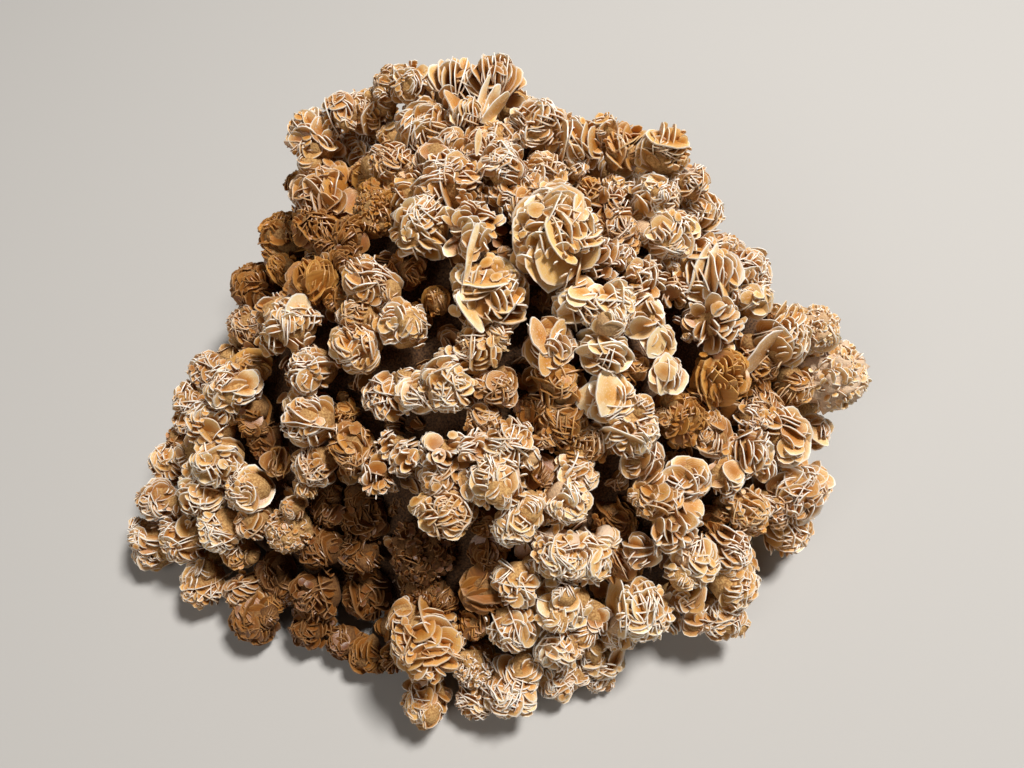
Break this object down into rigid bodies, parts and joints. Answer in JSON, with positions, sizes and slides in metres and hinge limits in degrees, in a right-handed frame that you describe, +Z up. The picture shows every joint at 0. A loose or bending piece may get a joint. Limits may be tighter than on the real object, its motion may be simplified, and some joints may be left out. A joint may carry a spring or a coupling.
{
  "type": "gypsum sand rose",
  "caption": "Cluster of gypsum crystal rosettes grown together on a sandy core, a mound that rests on its flat broken underside.",
  "frame": {"origin": "middle of the cluster's outer box, on the surface it rests on", "axes": "+X along the width, +Z up out of the underside, -Y towards the long front slope"},
  "size_m": [0.4385, 0.3989, 0.199],
  "materials": {
    "gypsum": "honey-coloured crystal blades with pale frosted rims and sandy matrix between them"
  },
  "bodies": {
    "root": {"sand_rose": "gypsum"}
  },
  "joints": []
}
